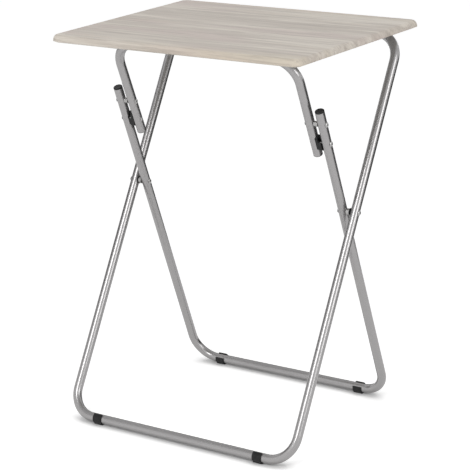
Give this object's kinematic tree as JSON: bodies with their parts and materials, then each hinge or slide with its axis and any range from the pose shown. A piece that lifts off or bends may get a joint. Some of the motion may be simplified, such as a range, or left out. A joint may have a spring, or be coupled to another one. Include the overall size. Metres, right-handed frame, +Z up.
{
  "type": "folding tray table",
  "caption": "Folding tray table: a rectangular wood-grain board on crossed bent-tube frames with a brace frame, latch catches and plastic feet; folds flat.",
  "frame": {"origin": "on the floor, in the middle of the open table's footprint box", "axes": "+Z up, +X to the right along the board's width, -Y towards the front, where the outer frame's floor bar lies"},
  "size_m": [0.48, 0.4058, 0.66],
  "materials": {
    "laminate": "pale greige wood-grain laminate, satin, grain along the width",
    "tube_finish": "silver-grey metallic powder coat, satin",
    "zinc_steel": "bright zinc plate",
    "black_plastic": "moulded black plastic, fine texture"
  },
  "bodies": {
    "outer_legs": {"outer_frame": "tube_finish", "front_foot_left": "black_plastic", "front_foot_right": "black_plastic", "cross_rivet_left": "zinc_steel", "cross_rivet_right": "zinc_steel", "cross_spacer_left": "zinc_steel", "cross_spacer_right": "zinc_steel", "cross_washer_left": "black_plastic", "cross_washer_right": "black_plastic"},
    "inner_legs": {"inner_frame": "tube_finish", "leg_plug_left": "black_plastic", "leg_plug_right": "black_plastic", "back_foot_left": "black_plastic", "back_foot_right": "black_plastic", "pivot_rivet_left": "zinc_steel", "pivot_rivet_right": "zinc_steel", "pivot_spacer_left": "zinc_steel", "pivot_spacer_right": "zinc_steel", "stop_pin_left": "zinc_steel", "stop_pin_right": "zinc_steel"},
    "board": {"tabletop": "laminate", "rear_clip_left": "black_plastic", "rear_clip_right": "black_plastic", "front_clip_left": "black_plastic", "front_clip_right": "black_plastic", "rear_screws_left": "zinc_steel", "rear_screws_right": "zinc_steel", "front_screws_left": "zinc_steel", "front_screws_right": "zinc_steel"},
    "brace": {"brace_frame": "tube_finish", "arm_plug_left": "black_plastic", "arm_plug_right": "black_plastic", "pivot_stud_left": "zinc_steel", "pivot_stud_right": "zinc_steel", "catch_left": "black_plastic", "catch_right": "black_plastic", "catch_rivet_left": "zinc_steel", "catch_rivet_right": "zinc_steel"}
  },
  "joints": [
    {"name": "leg_fold", "type": "hinge", "parent": "outer_legs", "child": "inner_legs", "pos_m": [0, 0.01464, 0.373], "axis": [-1, 0, 0], "range_deg": [0, 50.3]},
    {"name": "board_fold", "type": "hinge", "parent": "outer_legs", "child": "board", "pos_m": [0, 0.16644, 0.63815], "axis": [1, 0, 0], "range_deg": [0, 54.35]},
    {"name": "brace_fold", "type": "hinge", "parent": "board", "child": "brace", "pos_m": [0, -0.08756, 0.63815], "axis": [1, 0, 0], "range_deg": [0, 61.48]}
  ],
  "couplings": [
    {"joint": "board_fold", "follows": "leg_fold", "ratio": 1.0803},
    {"joint": "brace_fold", "follows": "leg_fold", "ratio": 1.2222}
  ]
}
